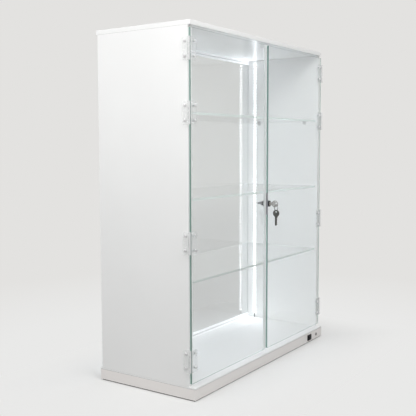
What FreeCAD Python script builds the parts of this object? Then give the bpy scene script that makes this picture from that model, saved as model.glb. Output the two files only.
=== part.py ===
# Countertop display case: white carcass on a plinth, clear doors on clear hinges, lit glass shelves.
# Millimetres. X runs right along the front, Y runs back, Z up. The origin is the middle of the footprint.
import FreeCAD, Part
import Sketcher
import os
import re

doc = FreeCAD.newDocument("display_case")
sheet = doc.addObject("Spreadsheet::Sheet", "sizes")

# Driving sizes, each set by itself.
SIZES = {
    # Carcass
    "case_height": 800,
    "case_width": 630,
    "plinth_depth": 268,
    "plinth_height": 27,
    "plinth_board": 8,
    "mat_thickness": 2.5,
    "mat_inset": 3,
    "cover_thickness": 2,
    "deck_thickness": 3.5,
    "batten_width": 10,
    "batten_pitch": 90,
    "batten_end_gap": 30,
    "top_thickness": 10,
    "top_setback": 10.5,
    "side_thickness": 10,
    "side_back_setback": 5,
    "board_fit": 0.2,
    "board_rounding": 0.8,
    # Back pane and its rails
    "pane_thickness": 4,
    "pane_inset": 27.5,
    "pane_fit": 0.3,
    "groove_depth": 4,
    "rail_height": 10,
    "rail_depth": 10,
    "rail_floor": 4,
    "rail_lip": 2.5,
    "rail_recess": 1.2,
    "rail_recess_height": 3.5,
    # Shelves
    "shelf_thickness": 5,
    "shelf_front_setback": 5,
    "shelf_back_gap": 3,
    "shelf_side_gap": 3,
    "shelf_upper_level": 608.5,
    "shelf_middle_level": 426.5,
    "shelf_lower_level": 250,
    "stud_radius": 2.5,
    "stud_depth": 6,
    "stud_reach": 11,
    "stud_collar": 4.2,
    "stud_collar_thickness": 1.5,
    "stud_edge_distance": 35,
    "stud_fit": 0.05,
    # Light tape
    "tape_width": 10,
    "tape_thickness": 0.4,
    "tape_to_pane": 24,
    "tape_end_gap": 8,
    "chip_side": 5,
    "chip_height": 1.6,
    "chip_pitch": 8.33,
    "lead_radius": 1.2,
    "lead_fit": 0.4,
    "lead_bend": 8,
    "lead_overlap": 6,
    "lead_row_back": 34,
    "lead_spacing": 1.4,
    # Switch and power inlet
    "switch_to_jack": 43,
    "switch_width": 21,
    "switch_height": 15,
    "switch_bezel": 2,
    "switch_bezel_lip": 1,
    "switch_depth": 15,
    "switch_wall": 1.2,
    "switch_well": 9,
    "switch_fit": 0.2,
    "rocker_gap": 0.4,
    "rocker_tilt": 8,
    "rocker_rise": 2.6,
    "rocker_dish": 1.2,
    "rocker_root": 4.5,
    "rocker_pivot_depth": 1,
    "trunnion_radius": 1,
    "trunnion_fit": 0.05,
    "terminal_length": 5,
    "terminal_width": 5.2,
    "terminal_thickness": 0.8,
    "terminal_spread": 4.5,
    "jack_end_distance": 36,
    "jack_radius": 3.8,
    "jack_flange_radius": 4.6,
    "jack_flange": 1,
    "jack_depth": 15,
    "jack_socket_radius": 2.75,
    "jack_socket_depth": 10,
    "jack_pin_radius": 1,
    # Doors
    "door_setback": 9.5,
    "door_thickness": 5,
    "door_standoff": 1.5,
    "door_side_inset": 1.3,
    "door_gap": 11.4,
    "meeting_offset": 9,
    "door_bottom_gap": 7,
    "door_top_gap": 5.5,
    "profile_width": 6,
    "profile_wall": 0.8,
    "profile_fit": 0.1,
    "stop_width": 22,
    "stop_height": 12,
    "stop_depth": 10,
    "stop_gap": 0.5,
    # Hinges
    "hinge_top_drop": 42.5,
    "hinge_upper_drop": 173.5,
    "hinge_lower_rise": 302.5,
    "hinge_bottom_rise": 49.5,
    "hinge_height": 48,
    "leaf_thickness": 2.5,
    "leaf_corner": 3,
    "case_leaf_width": 19,
    "door_leaf_width": 22,
    "knuckle_radius": 4,
    "knuckle_out": 2.05,
    "knuckle_back": 0.5,
    "centre_knuckle": 24,
    "knuckle_gap": 0.3,
    "pin_radius": 1.25,
    "pin_clearance": 0.05,
    "screw_spread": 31,
    "case_screw_reach": 13,
    "door_bolt_reach": 16.5,
    "screw_radius": 1.4,
    "screw_fit": 0.05,
    "screw_head_radius": 3,
    "screw_head_height": 1.8,
    "screw_crown": 1.2,
    "recess_length": 3.4,
    "recess_width": 0.7,
    "recess_depth": 0.9,
    "screw_bite": 7,
    "cap_nut_radius": 3,
    "cap_nut_height": 3,
    "cap_nut_crown": 1.8,
    # Lock
    "lock_level": 400,
    "lock_edge_distance": 6.9,
    "flange_radius": 7.5,
    "flange_thickness": 2,
    "flange_rounding": 1,
    "barrel_radius": 5,
    "barrel_length": 21,
    "barrel_fit": 0.1,
    "notch_fit": 0.3,
    "bracket_height": 54,
    "bracket_plate": 1.2,
    "bracket_lip_width": 3,
    "bracket_lug_radius": 8,
    "sleeve_radius": 6.3,
    "sleeve_length": 9,
    "nut_across": 15,
    "nut_thickness": 3,
    "plug_radius": 3.6,
    "plug_fit": 0.05,
    "plug_head_radius": 5.2,
    "plug_head": 0.8,
    "plug_head_gap": 0.1,
    "plug_tail": 2,
    "keyway_fit": 0.2,
    "cam_hub_radius": 5,
    "cam_thickness": 1.8,
    "cam_tail_length": 11,
    "cam_tail_height": 5,
    "cam_hook_length": 24,
    # Keys on their ring
    "key_thickness": 1.8,
    "blade_height": 5.4,
    "blade_length": 24,
    "blade_point": 2,
    "bit_depth": 1.1,
    "bit_pitch": 4,
    "bit_start": 5,
    "key_neck": 5.5,
    "bow_radius": 8.5,
    "bow_neck": 7,
    "bow_taper": 3.5,
    "bow_hole_radius": 2.5,
    "bow_hole_inset": 4.5,
    "ring_radius": 8,
    "ring_wire": 0.7,
    "ring_fit": 0.2,
}

# Places and fits worked out from the sizes.
PLACES = {
    "half_width": "case_width / 2",
    "half_depth": "plinth_depth / 2",
    "inner_half": "half_width - side_thickness",
    "deck_top": "mat_thickness + plinth_height",
    "deck_under": "deck_top - deck_thickness",
    "ceiling": "case_height - top_thickness",
    "board_inner": "half_width - plinth_board",
    "door_front": "door_setback - half_depth",
    "door_back": "door_front + door_thickness",
    "door_low": "deck_top + door_bottom_gap",
    "door_high": "ceiling - door_top_gap",
    "door_outer": "half_width - door_side_inset",
    "left_door_end": "meeting_offset - door_gap / 2",
    "right_door_end": "meeting_offset + door_gap / 2",
    "side_front": "door_back + door_standoff",
    "side_back": "half_depth - side_back_setback",
    "pane_front": "half_depth - pane_inset",
    "pane_back": "pane_front + pane_thickness",
    "rail_front": "pane_front + pane_thickness / 2 - rail_depth / 2",
    "rail_back": "rail_front + rail_depth",
    "shelf_front": "side_front + shelf_front_setback",
    "shelf_back": "pane_front - shelf_back_gap",
    "shelf_half": "inner_half - shelf_side_gap",
    "stud_front": "shelf_front + stud_edge_distance",
    "stud_back": "shelf_back - stud_edge_distance",
    "tape_middle": "pane_front - tape_to_pane",
    "tape_low": "deck_top + tape_end_gap",
    "tape_high": "ceiling - tape_end_gap",
    "lead_drop": "inner_half - tape_thickness - lead_radius",
    "plinth_middle": "(mat_thickness + deck_under) / 2",
    "lead_row": "plinth_board + lead_row_back - half_depth",
    "terminal_tip": "switch_depth + terminal_length - half_depth",
    "power_row": "(lead_row + terminal_tip) / 2",
    "jack_x": "half_width - jack_end_distance",
    "switch_x": "jack_x - switch_to_jack",
    "light_terminal": "switch_x - terminal_spread",
    "power_terminal": "switch_x + terminal_spread",
    "switch_half": "switch_width / 2 - switch_bezel_lip",
    "switch_tall": "switch_height / 2 - switch_bezel_lip",
    "well_half": "switch_half - switch_wall",
    "well_tall": "switch_tall - switch_wall",
    "rocker_half": "well_tall - rocker_gap",
    "rocker_tip": "rocker_rise + rocker_pivot_depth + switch_bezel",
    "rocker_long": "(well_half - rocker_gap - rocker_tip * sin(rocker_tilt)) / cos(rocker_tilt)",
    "hinge_top_level": "door_high - hinge_top_drop",
    "hinge_upper_level": "door_high - hinge_upper_drop",
    "hinge_lower_level": "door_low + hinge_lower_rise",
    "hinge_bottom_level": "door_low + hinge_bottom_rise",
    "hinge_x": "half_width + leaf_thickness / 2 + knuckle_out",
    "hinge_y": "door_front + knuckle_back",
    "case_leaf_start": "hinge_x - half_width - leaf_thickness",
    "door_leaf_start": "door_front - leaf_thickness - hinge_y",
    "notch_swing": "knuckle_radius + knuckle_gap",
    "profile_front": "door_front - profile_fit - profile_wall",
    "profile_back": "door_back + profile_fit + profile_wall",
    "profile_lip": "left_door_end - profile_width",
    "profile_web": "left_door_end - profile_wall",
    "bolt_x": "hinge_x - door_bolt_reach",
    "screw_y": "hinge_y + case_screw_reach",
    "lock_x": "right_door_end + lock_edge_distance",
    "notch_half": "barrel_radius + notch_fit",
    "flange_front": "door_front - flange_thickness",
    "sleeve_start": "door_back + bracket_plate",
    "nut_start": "sleeve_start + sleeve_length",
    "barrel_end": "door_front + barrel_length",
    "plug_front": "flange_front - plug_head_gap - plug_head",
    "plug_end": "barrel_end + plug_tail",
    "cam_tail_start": "plug_end + cam_thickness",
    "cam_tail_end": "cam_tail_start + cam_tail_length",
    "key_shoulder": "plug_front - key_neck",
    "bow_end": "bow_neck + bow_radius",
    "bow_hole_y": "key_shoulder - bow_end + bow_hole_inset",
    "ring_top": "lock_level - bow_hole_radius + ring_wire + ring_fit",
    "ring_middle": "ring_top - ring_radius",
    "spare_hole": "ring_middle - ring_radius - bow_hole_radius + ring_wire + ring_fit",
    "spare_shoulder": "spare_hole - bow_end + bow_hole_inset",
}

SIDES = (("left", -1), ("right", 1))
SHELVES = ("upper", "middle", "lower")
HINGES = ("top", "upper", "lower", "bottom")
BIT_COUNT = 4
DIAGONAL = 2 ** -0.5
VOLUME_TOLERANCE = 0.01

for row, (alias, value) in enumerate(SIZES.items(), start=1):
    sheet.set(f"A{row}", alias)
    sheet.set(f"B{row}", str(value))
    sheet.setAlias(f"B{row}", alias)
doc.recompute()

NAME = re.compile(r"[a-z_]+")
nodes = []


def formula(text):
    """Spell out places and point every size at its cell."""
    def spell(match):
        word = match.group(0)
        if word in PLACES:
            return "(" + formula(PLACES[word]) + ")"
        return "sizes." + word if word in SIZES else word
    return NAME.sub(spell, str(text))


def number(text):
    """Value of a formula, for shapes that are built directly."""
    return float(sheet.evalExpression(formula(text)))


def point(x, y, z):
    return FreeCAD.Vector(number(x), number(y), number(z))


def bind(item, **texts):
    """Bind properties to formulas; x, y and z place the item."""
    for prop, text in texts.items():
        path = f"Placement.Base.{prop}" if prop in "xyz" else prop
        item.setExpression(path, formula(text))


def keep(item, label):
    """Register a finished sub-part under its node name."""
    item.Label = label
    nodes.append(item)
    return item


def board(label, x, y, z):
    """A plain board between two formulas on each axis."""
    item = doc.addObject("Part::Box", label)
    bind(item, Length=f"({x[1]}) - ({x[0]})", Width=f"({y[1]}) - ({y[0]})", Height=f"({z[1]}) - ({z[0]})")
    bind(item, x=x[0], y=y[0], z=z[0])
    return keep(item, label)


def group(label, shapes):
    """Identical small pieces as separate solids in one sub-part."""
    item = doc.addObject("Part::Feature", label)
    item.Shape = Part.makeCompound(shapes)
    return keep(item, label)


def rod(centre, direction, radius, length):
    return Part.makeCylinder(number(radius), number(length), centre, FreeCAD.Vector(*direction))


def new_body(label, x="0", y="0", z="0"):
    body = doc.addObject("PartDesign::Body", label)
    bind(body, x=x, y=y, z=z)
    return keep(body, label)


def hold(sketch, geometry, end, x, y):
    """Tie one sketch point to formulas measured from the sketch origin."""
    for kind, text in (("DistanceX", x), ("DistanceY", y)):
        index = sketch.addConstraint(Sketcher.Constraint(kind, -1, 1, geometry, end, number(text)))
        sketch.setExpression(f"Constraints[{index}]", formula(text))


def draw_outline(sketch, corners):
    first = sketch.GeometryCount
    spots = [point(x, y, 0) for x, y in corners]
    for start, end in zip(spots, spots[1:] + spots[:1]):
        sketch.addGeometry(Part.LineSegment(start, end), False)
    for index in range(len(corners)):
        following = first + (index + 1) % len(corners)
        sketch.addConstraint(Sketcher.Constraint("Coincident", first + index, 2, following, 1))
    for index, (x, y) in enumerate(corners):
        hold(sketch, first + index, 1, x, y)


def draw_circle(sketch, x, y, radius):
    upright = FreeCAD.Vector(0, 0, 1)
    index = sketch.addGeometry(Part.Circle(point(x, y, 0), upright, number(radius)), False)
    size = sketch.addConstraint(Sketcher.Constraint("Radius", index, number(radius)))
    sketch.setExpression(f"Constraints[{size}]", formula(radius))
    hold(sketch, index, 3, x, y)


def extrude(body, kind, axis, start, length, outlines=(), circles=()):
    """Pad or pocket along +axis from start. X sketches read (y, z), Y sketches (x, z), Z sketches (x, y)."""
    role = {"X": "YZ_Plane", "Y": "XZ_Plane", "Z": "XY_Plane"}[axis]
    plane = next(item for item in body.Origin.OriginFeatures if item.Role == role)
    sketch = body.newObject("Sketcher::SketchObject", "sketch")
    sketch.AttachmentSupport = [(plane, "")]
    sketch.MapMode = "FlatFace"
    offset = f"-({start})" if axis == "Y" else start
    sketch.setExpression("AttachmentOffset.Base.z", formula(offset))
    for corners in outlines:
        draw_outline(sketch, corners)
    for circle in circles:
        draw_circle(sketch, *circle)
    doc.recompute()
    before = body.Shape.Volume if body.Tip else 0.0
    feature = body.newObject("PartDesign::" + kind, kind.lower())
    feature.Profile = sketch
    feature.setExpression("Length", formula(length))
    feature.Reversed = (axis == "Y") == (kind == "Pad")
    doc.recompute()
    change = body.Shape.Volume - before
    if (change > 0) != (kind == "Pad"):
        raise RuntimeError(f"{body.Label}: {kind} changed the volume by {change:.3f}")
    return feature


def soften(body, radius, wanted=None):
    """Round the edges that pass the test, or every edge."""
    solid = body.Tip
    before = body.Shape.Volume
    edges = [f"Edge{spot}" for spot, edge in enumerate(solid.Shape.Edges, start=1)
             if wanted is None or wanted(edge)]
    feature = body.newObject("PartDesign::Fillet", "fillet")
    feature.Base = (solid, edges)
    bind(feature, Radius=radius)
    doc.recompute()
    taken = before - body.Shape.Volume
    if taken <= 0:
        raise RuntimeError(f"{body.Label}: rounding took nothing off")
    print(f"{body.Label}: {len(edges)} edges rounded, {taken:.1f} cubic mm taken off")


def rectangle(x, y):
    return [(x[0], y[0]), (x[1], y[0]), (x[1], y[1]), (x[0], y[1])]


def both(text):
    """A span that runs the same distance to either side of the middle."""
    return (f"-({text})", text)


def span(side, low, high):
    """A span on X, mirrored for the left side."""
    return (low, high) if side > 0 else (f"-({high})", f"-({low})")


# Plinth: four boards on a rubber mat, a thin bottom cover, two battens and the deck.
board("base_mat", both("half_width - mat_inset"), both("half_depth - mat_inset"), ("0", "mat_thickness"))
board("base_cover", both("board_inner - board_fit"), both("half_depth - plinth_board - board_fit"),
      ("mat_thickness", "mat_thickness + cover_thickness"))

plinth_front = new_body("plinth_front")
extrude(plinth_front, "Pad", "Y", "-half_depth", "plinth_board",
        outlines=[rectangle(both("half_width"), ("mat_thickness", "deck_under"))])
extrude(plinth_front, "Pocket", "Y", "-half_depth", "plinth_board",
        outlines=[rectangle(("switch_x - switch_half - switch_fit", "switch_x + switch_half + switch_fit"),
                            ("plinth_middle - switch_tall - switch_fit",
                             "plinth_middle + switch_tall + switch_fit"))],
        circles=[("jack_x", "plinth_middle", "jack_radius + board_fit")])

board("plinth_back", both("half_width"), ("half_depth - plinth_board", "half_depth"),
      ("mat_thickness", "deck_under"))
for name, side in SIDES:
    board(f"plinth_{name}", span(side, "board_inner", "half_width"), both("half_depth - plinth_board"),
          ("mat_thickness", "deck_under"))

batten_size = [number(text) for text in ("2 * (board_inner - batten_end_gap)", "batten_width",
                                         "deck_under - mat_thickness - cover_thickness")]
batten_rows = [point("batten_end_gap - board_inner", f"{row} * batten_pitch / 2 - batten_width / 2",
                     "mat_thickness + cover_thickness") for row in (-1, 1)]
group("deck_battens", [Part.makeBox(*batten_size, corner) for corner in batten_rows])

base_deck = new_body("base_deck")
extrude(base_deck, "Pad", "Z", "deck_under", "deck_thickness",
        outlines=[rectangle(both("half_width"), both("half_depth"))])
soften(base_deck, "board_rounding")
extrude(base_deck, "Pocket", "Z", "deck_under", "deck_thickness",
        circles=[(f"{side} * lead_drop", "tape_middle", "lead_radius + lead_fit") for name, side in SIDES])

# Side panels: groove for the back pane, blind holes for shelf studs and for hinge screws.
for name, side in SIDES:
    panel = new_body(f"{name}_side_panel")
    extrude(panel, "Pad", "Z", "deck_top", "ceiling - deck_top",
            outlines=[rectangle(span(side, "inner_half", "half_width"), ("side_front", "side_back"))])
    groove = span(side, "inner_half", "inner_half + groove_depth")
    extrude(panel, "Pocket", "Z", "deck_top", "ceiling - deck_top",
            outlines=[rectangle(groove, ("pane_front - pane_fit", "pane_back + pane_fit"))])
    stud_spots = [(y, f"shelf_{level}_level - stud_radius")
                  for level in SHELVES for y in ("stud_front", "stud_back")]
    stud_span = span(side, "inner_half", "inner_half + stud_depth")
    extrude(panel, "Pocket", "X", stud_span[0], "stud_depth",
            circles=[(y, z, "stud_radius + stud_fit") for y, z in stud_spots])
    screw_spots = [("screw_y", f"hinge_{level}_level + {end} * screw_spread / 2")
                   for level in HINGES for end in (-1, 1)]
    screw_span = span(side, "half_width - screw_bite", "half_width")
    extrude(panel, "Pocket", "X", screw_span[0], "screw_bite",
            circles=[(y, z, "screw_radius + screw_fit") for y, z in screw_spots])

top_panel = new_body("top_panel")
extrude(top_panel, "Pad", "Z", "ceiling", "top_thickness",
        outlines=[rectangle(both("half_width"), ("top_setback - half_depth", "half_depth"))])
soften(top_panel, "board_rounding")

# Back pane: its sides run in the panel grooves, its ends in two channel rails.
board("back_pane", both("inner_half + groove_depth - pane_fit"), ("pane_front", "pane_back"),
      ("deck_top + rail_floor + pane_fit", "ceiling - rail_floor - pane_fit"))


def channel(label, foot, direction):
    """A rail with a slot for the pane; foot is the closed side and direction points to the slot."""
    tip = f"{foot} + {direction} * rail_height"
    floor = f"{foot} + {direction} * rail_floor"
    lip = f"{tip} - {direction} * rail_lip"
    step = f"{lip} - {direction} * rail_recess_height"
    body = new_body(label)
    extrude(body, "Pad", "X", "board_fit - inner_half", "2 * (inner_half - board_fit)",
            outlines=[[("rail_front", foot), ("rail_back", foot), ("rail_back", tip),
                       ("pane_back + pane_fit", tip), ("pane_back + pane_fit", floor),
                       ("pane_front - pane_fit", floor), ("pane_front - pane_fit", tip),
                       ("rail_front", tip), ("rail_front", lip), ("rail_front + rail_recess", lip),
                       ("rail_front + rail_recess", step), ("rail_front", step)]])


channel("back_rail_bottom", "deck_top", 1)
channel("back_rail_top", "ceiling", -1)

# Glass shelves on collared studs, four to a shelf.
for level in SHELVES:
    board(f"shelf_{level}", both("shelf_half"), ("shelf_front", "shelf_back"),
          (f"shelf_{level}_level", f"shelf_{level}_level + shelf_thickness"))


def shelf_stud(side, y, level):
    inward = (-side, 0, 0)
    axis_level = f"shelf_{level}_level - stud_radius"
    shank = rod(point(f"{side} * (inner_half + stud_depth)", y, axis_level), inward,
                "stud_radius", "stud_depth + stud_reach")
    wall = point(f"{side} * inner_half", y, axis_level)
    collar = rod(wall, inward, "stud_collar", "stud_collar_thickness")
    return shank.fuse(collar)


group("shelf_studs", [shelf_stud(side, y, level) for name, side in SIDES for level in SHELVES
                      for y in ("stud_front", "stud_back")])

# Light tape up each side panel, with its chips and the lead from its lower end.
chips = []
for name, side in SIDES:
    board(f"led_tape_{name}", span(side, "inner_half - tape_thickness", "inner_half"),
          ("tape_middle - tape_width / 2", "tape_middle + tape_width / 2"), ("tape_low", "tape_high"))
    face = span(side, "inner_half - tape_thickness - chip_height", "inner_half - tape_thickness")
    chip = [number(text) for text in ("chip_height", "chip_side", "chip_side")]
    free_length = number("tape_high - tape_low - lead_overlap - chip_side")
    for row in range(int(free_length / number("chip_pitch")) + 1):
        level = f"tape_low + lead_overlap + {row} * chip_pitch"
        chips.append(Part.makeBox(*chip, point(face[0], "tape_middle - chip_side / 2", level)))
group("led_chips", chips)


def lead(label, route):
    """A round lead along straight runs joined by tangent bends."""
    spots = [point(*spot) for spot in route]
    bend = number("lead_bend")
    edges = []
    start = spots[0]
    for corner, following in zip(spots[1:-1], spots[2:]):
        inward = (corner - start).normalize()
        outward = (following - corner).normalize()
        near = corner - inward * bend
        far = corner + outward * bend
        middle = corner + (outward - inward) * bend * (1 - DIAGONAL)
        edges.append(Part.LineSegment(start, near).toShape())
        edges.append(Part.Arc(near, middle, far).toShape())
        start = far
    edges.append(Part.LineSegment(start, spots[-1]).toShape())
    path = Part.Wire(edges)
    section = Part.Wire(Part.Circle(spots[0], spots[1] - spots[0], number("lead_radius")).toShape())
    item = doc.addObject("Part::Feature", label)
    item.Shape = path.makePipeShell([section], True, False)
    length = path.Length
    print(f"{label}: {length:.1f} mm long, bends of {bend:.1f} mm")
    if abs(item.Shape.Volume / (Part.Face(section).Area * length) - 1) > VOLUME_TOLERANCE:
        raise RuntimeError(f"{label}: the tube doesn't match its section and length")
    return keep(item, label)


for name, side in SIDES:
    drop = f"{side} * lead_drop"
    finish = f"light_terminal + {side} * lead_spacing"
    lead(f"led_lead_{name}", [(drop, "tape_middle", "tape_low + lead_overlap - lead_fit"),
                              (drop, "tape_middle", "plinth_middle"),
                              (drop, "lead_row", "plinth_middle"),
                              (finish, "lead_row", "plinth_middle"),
                              (finish, "terminal_tip", "plinth_middle")])
lead("power_lead", [("jack_x", "jack_depth - half_depth", "plinth_middle"),
                    ("jack_x", "power_row", "plinth_middle"),
                    ("power_terminal", "power_row", "plinth_middle"),
                    ("power_terminal", "terminal_tip", "plinth_middle")])

# Rocker switch in the plinth front: a housing with a well, and a rocker on two trunnions.
switch_housing = new_body("switch_housing", "switch_x", "-half_depth", "plinth_middle")
extrude(switch_housing, "Pad", "Y", "-switch_bezel", "switch_bezel",
        outlines=[rectangle(both("switch_width / 2"), both("switch_height / 2"))])
extrude(switch_housing, "Pad", "Y", "0", "switch_depth",
        outlines=[rectangle(both("switch_half"), both("switch_tall"))])
extrude(switch_housing, "Pocket", "Y", "-switch_bezel", "switch_well + switch_bezel",
        outlines=[rectangle(both("well_half"), both("well_tall"))])
extrude(switch_housing, "Pocket", "Z", "-switch_tall", "2 * switch_tall",
        circles=[("0", "rocker_pivot_depth", "trunnion_radius + trunnion_fit")])
extrude(switch_housing, "Pad", "Y", "switch_depth", "terminal_length",
        outlines=[rectangle((f"{end} * terminal_spread - terminal_thickness / 2",
                             f"{end} * terminal_spread + terminal_thickness / 2"),
                            both("terminal_width / 2")) for end in (-1, 1)])

switch_rocker = new_body("switch_rocker", "switch_x", "rocker_pivot_depth - half_depth", "plinth_middle")
switch_rocker.Placement.Rotation = FreeCAD.Rotation(FreeCAD.Vector(0, 0, 1), number("rocker_tilt"))
extrude(switch_rocker, "Pad", "Z", "-rocker_half", "2 * rocker_half",
        outlines=[[("-rocker_long", "-rocker_tip"), ("0", "rocker_dish - rocker_tip"),
                   ("rocker_long", "-rocker_tip"), ("rocker_long", "-rocker_pivot_depth"),
                   ("rocker_root / 2", "rocker_root"), ("-rocker_root / 2", "rocker_root"),
                   ("-rocker_long", "-rocker_pivot_depth")]])
extrude(switch_rocker, "Pad", "Z", "switch_wall / 2 - switch_tall", "2 * switch_tall - switch_wall",
        circles=[("0", "0", "trunnion_radius")])

# Round power inlet with its centre contact.
power_jack = new_body("power_jack", "jack_x", "-half_depth", "plinth_middle")
extrude(power_jack, "Pad", "Y", "-jack_flange", "jack_flange", circles=[("0", "0", "jack_flange_radius")])
extrude(power_jack, "Pad", "Y", "0", "jack_depth", circles=[("0", "0", "jack_radius")])
extrude(power_jack, "Pocket", "Y", "-jack_flange", "jack_socket_depth",
        circles=[("0", "0", "jack_socket_radius"), ("0", "0", "jack_pin_radius")])

# Doors: clear panes drilled for the hinge bolts, an edge profile on the left, a lock notch on the right.
bolt_levels = [f"hinge_{level}_level + {end} * screw_spread / 2" for level in HINGES for end in (-1, 1)]
for name, side in SIDES:
    across = ("right_door_end", "door_outer") if side > 0 else ("-door_outer", "profile_web - profile_fit")
    pane = new_body(f"{name}_door_pane")
    extrude(pane, "Pad", "Y", "door_front", "door_thickness",
            outlines=[rectangle(across, ("door_low", "door_high"))])
    extrude(pane, "Pocket", "Y", "door_front", "door_thickness",
            circles=[(f"{side} * bolt_x", z, "screw_radius + screw_fit") for z in bolt_levels])
    if side > 0:
        extrude(pane, "Pocket", "Y", "door_front", "door_thickness",
                outlines=[rectangle(("right_door_end", "lock_x"),
                                    ("lock_level - notch_half", "lock_level + notch_half"))])
        extrude(pane, "Pocket", "Y", "door_front", "door_thickness",
                circles=[("lock_x", "lock_level", "notch_half")])

profile = new_body("left_door_edge_profile")
extrude(profile, "Pad", "Z", "door_low", "door_high - door_low",
        outlines=[[("left_door_end", "profile_front"), ("left_door_end", "profile_back"),
                   ("profile_lip", "profile_back"), ("profile_lip", "door_back + profile_fit"),
                   ("profile_web", "door_back + profile_fit"), ("profile_web", "door_front - profile_fit"),
                   ("profile_lip", "door_front - profile_fit"), ("profile_lip", "profile_front")]])

board("door_stop", ("meeting_offset - stop_width / 2", "meeting_offset + stop_width / 2"),
      ("profile_back + stop_gap", "profile_back + stop_gap + stop_depth"),
      ("ceiling - stop_height", "ceiling"))

# Hinges: interleaved clear leaves, two outer knuckles on the case and one long knuckle on the door.
TURNED = FreeCAD.Rotation(FreeCAD.Vector(0, 1, 0), 180)


def leaf_outline(width):
    """A plate from the hinge axis outward with its far corners cut."""
    tall = "hinge_height / 2"
    return [("0", f"-{tall}"), (f"{width} - leaf_corner", f"-{tall}"), (width, f"leaf_corner - {tall}"),
            (width, f"{tall} - leaf_corner"), (f"{width} - leaf_corner", tall), ("0", tall)]


def hinge_leaf(label, side, level, plate_axis, plate_start, width, reach, notches):
    body = new_body(label, f"{side} * hinge_x", "hinge_y", f"hinge_{level}_level")
    if side > 0:
        body.Placement.Rotation = TURNED
    extrude(body, "Pad", plate_axis, plate_start, "leaf_thickness", outlines=[leaf_outline(width)])
    extrude(body, "Pad", "Z", "-hinge_height / 2", "hinge_height", circles=[("0", "0", "knuckle_radius")])
    for low, high in notches:
        extrude(body, "Pocket", "Z", low, f"({high}) - ({low})",
                outlines=[rectangle(both("notch_swing"), both("notch_swing"))])
    extrude(body, "Pocket", "Z", "-hinge_height / 2", "hinge_height",
            circles=[("0", "0", "pin_radius + pin_clearance")])
    extrude(body, "Pocket", plate_axis, plate_start, "leaf_thickness",
            circles=[(reach, f"{end} * screw_spread / 2", "screw_radius + screw_fit") for end in (-1, 1)])


centre_half = "centre_knuckle / 2"
for name, side in SIDES:
    for level in HINGES:
        hinge_leaf(f"{name}_case_leaf_{level}", side, level, "X", "case_leaf_start", "case_leaf_width",
                   "case_screw_reach", [(f"-{centre_half} - knuckle_gap", f"{centre_half} + knuckle_gap")])
        hinge_leaf(f"{name}_door_leaf_{level}", side, level, "Y", "door_leaf_start", "door_leaf_width",
                   "door_bolt_reach",
                   [("-hinge_height / 2", f"-{centre_half}"), (centre_half, "hinge_height / 2")])

hinge_spots = [(side, level) for name, side in SIDES for level in HINGES]
UPWARD = (0, 0, 1)
group("hinge_pins", [rod(point(f"{side} * hinge_x", "hinge_y", f"hinge_{level}_level - hinge_height / 2"),
                         UPWARD, "pin_radius", "hinge_height") for side, level in hinge_spots])


def dome(foot, direction, radius, length, crown):
    """A short rod whose far rim is rounded over."""
    blank = rod(foot, direction, radius, length)
    end = foot + FreeCAD.Vector(*direction) * number(length)
    rim = [edge for edge in blank.Edges if edge.CenterOfMass.distanceToPoint(end) < number(length) / 2]
    return blank.makeFillet(number(crown), rim)


def fastener(tip, direction, shank_length):
    """A domed screw or bolt with a cross recess, from the tip of its shank to the crown of its head."""
    shank = rod(point(0, 0, 0), UPWARD, "screw_radius", shank_length)
    head = dome(point(0, 0, shank_length), UPWARD, "screw_head_radius", "screw_head_height", "screw_crown")
    item = shank.fuse(head)
    floor = f"{shank_length} + screw_head_height - recess_depth"
    for along, across in (("recess_length", "recess_width"), ("recess_width", "recess_length")):
        cut_size = [number(text) for text in (along, across, "recess_depth")]
        item = item.cut(Part.makeBox(*cut_size, point(f"-{along} / 2", f"-{across} / 2", floor)))
    turn = FreeCAD.Rotation(FreeCAD.Vector(*UPWARD), FreeCAD.Vector(*direction))
    item.Placement = FreeCAD.Placement(tip, turn)
    return item


group("hinge_screws", [fastener(point(f"{side} * (half_width - screw_bite)", "screw_y", z), (side, 0, 0),
                                "screw_bite + leaf_thickness") for name, side in SIDES for z in bolt_levels])
for name, side in SIDES:
    spots = [point(f"{side} * bolt_x", "door_back", z) for z in bolt_levels]
    bolts = [fastener(spot, (0, -1, 0), "door_thickness + leaf_thickness") for spot in spots]
    nuts = [dome(spot, (0, 1, 0), "cap_nut_radius", "cap_nut_height", "cap_nut_crown") for spot in spots]
    group(f"{name}_door_bolts", bolts + nuts)

# Lock on the right door: edge bracket, barrel, spacer sleeve, nut, keyed plug and cam.
bracket = new_body("lock_bracket")
extrude(bracket, "Pad", "Z", "lock_level - bracket_height / 2", "bracket_height",
        outlines=[[("right_door_end - bracket_plate", "door_front"), ("right_door_end", "door_front"),
                   ("right_door_end", "door_back"), ("right_door_end + bracket_lip_width", "door_back"),
                   ("right_door_end + bracket_lip_width", "sleeve_start"),
                   ("right_door_end - bracket_plate", "sleeve_start")]])
extrude(bracket, "Pad", "Y", "door_back", "bracket_plate",
        circles=[("lock_x", "lock_level", "bracket_lug_radius")])
extrude(bracket, "Pocket", "Y", "door_back", "bracket_plate",
        circles=[("lock_x", "lock_level", "barrel_radius + barrel_fit")])


def lock_body(label):
    """A body whose Y axis is the lock's axis."""
    return new_body(label, "lock_x", "0", "lock_level")


def disc(radius):
    return [("0", "0", radius)]


barrel = lock_body("lock_barrel")
extrude(barrel, "Pad", "Y", "flange_front", "flange_thickness", circles=disc("flange_radius"))
flange_middle = number("flange_front + flange_thickness / 2")
soften(barrel, "flange_rounding", lambda edge: edge.BoundBox.YMax < flange_middle)
extrude(barrel, "Pad", "Y", "door_front", "barrel_length", circles=disc("barrel_radius"))
extrude(barrel, "Pocket", "Y", "flange_front", "flange_thickness + barrel_length",
        circles=disc("plug_radius + plug_fit"))

sleeve = lock_body("lock_sleeve")
extrude(sleeve, "Pad", "Y", "sleeve_start", "sleeve_length",
        circles=disc("sleeve_radius") + disc("barrel_radius + barrel_fit"))

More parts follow.
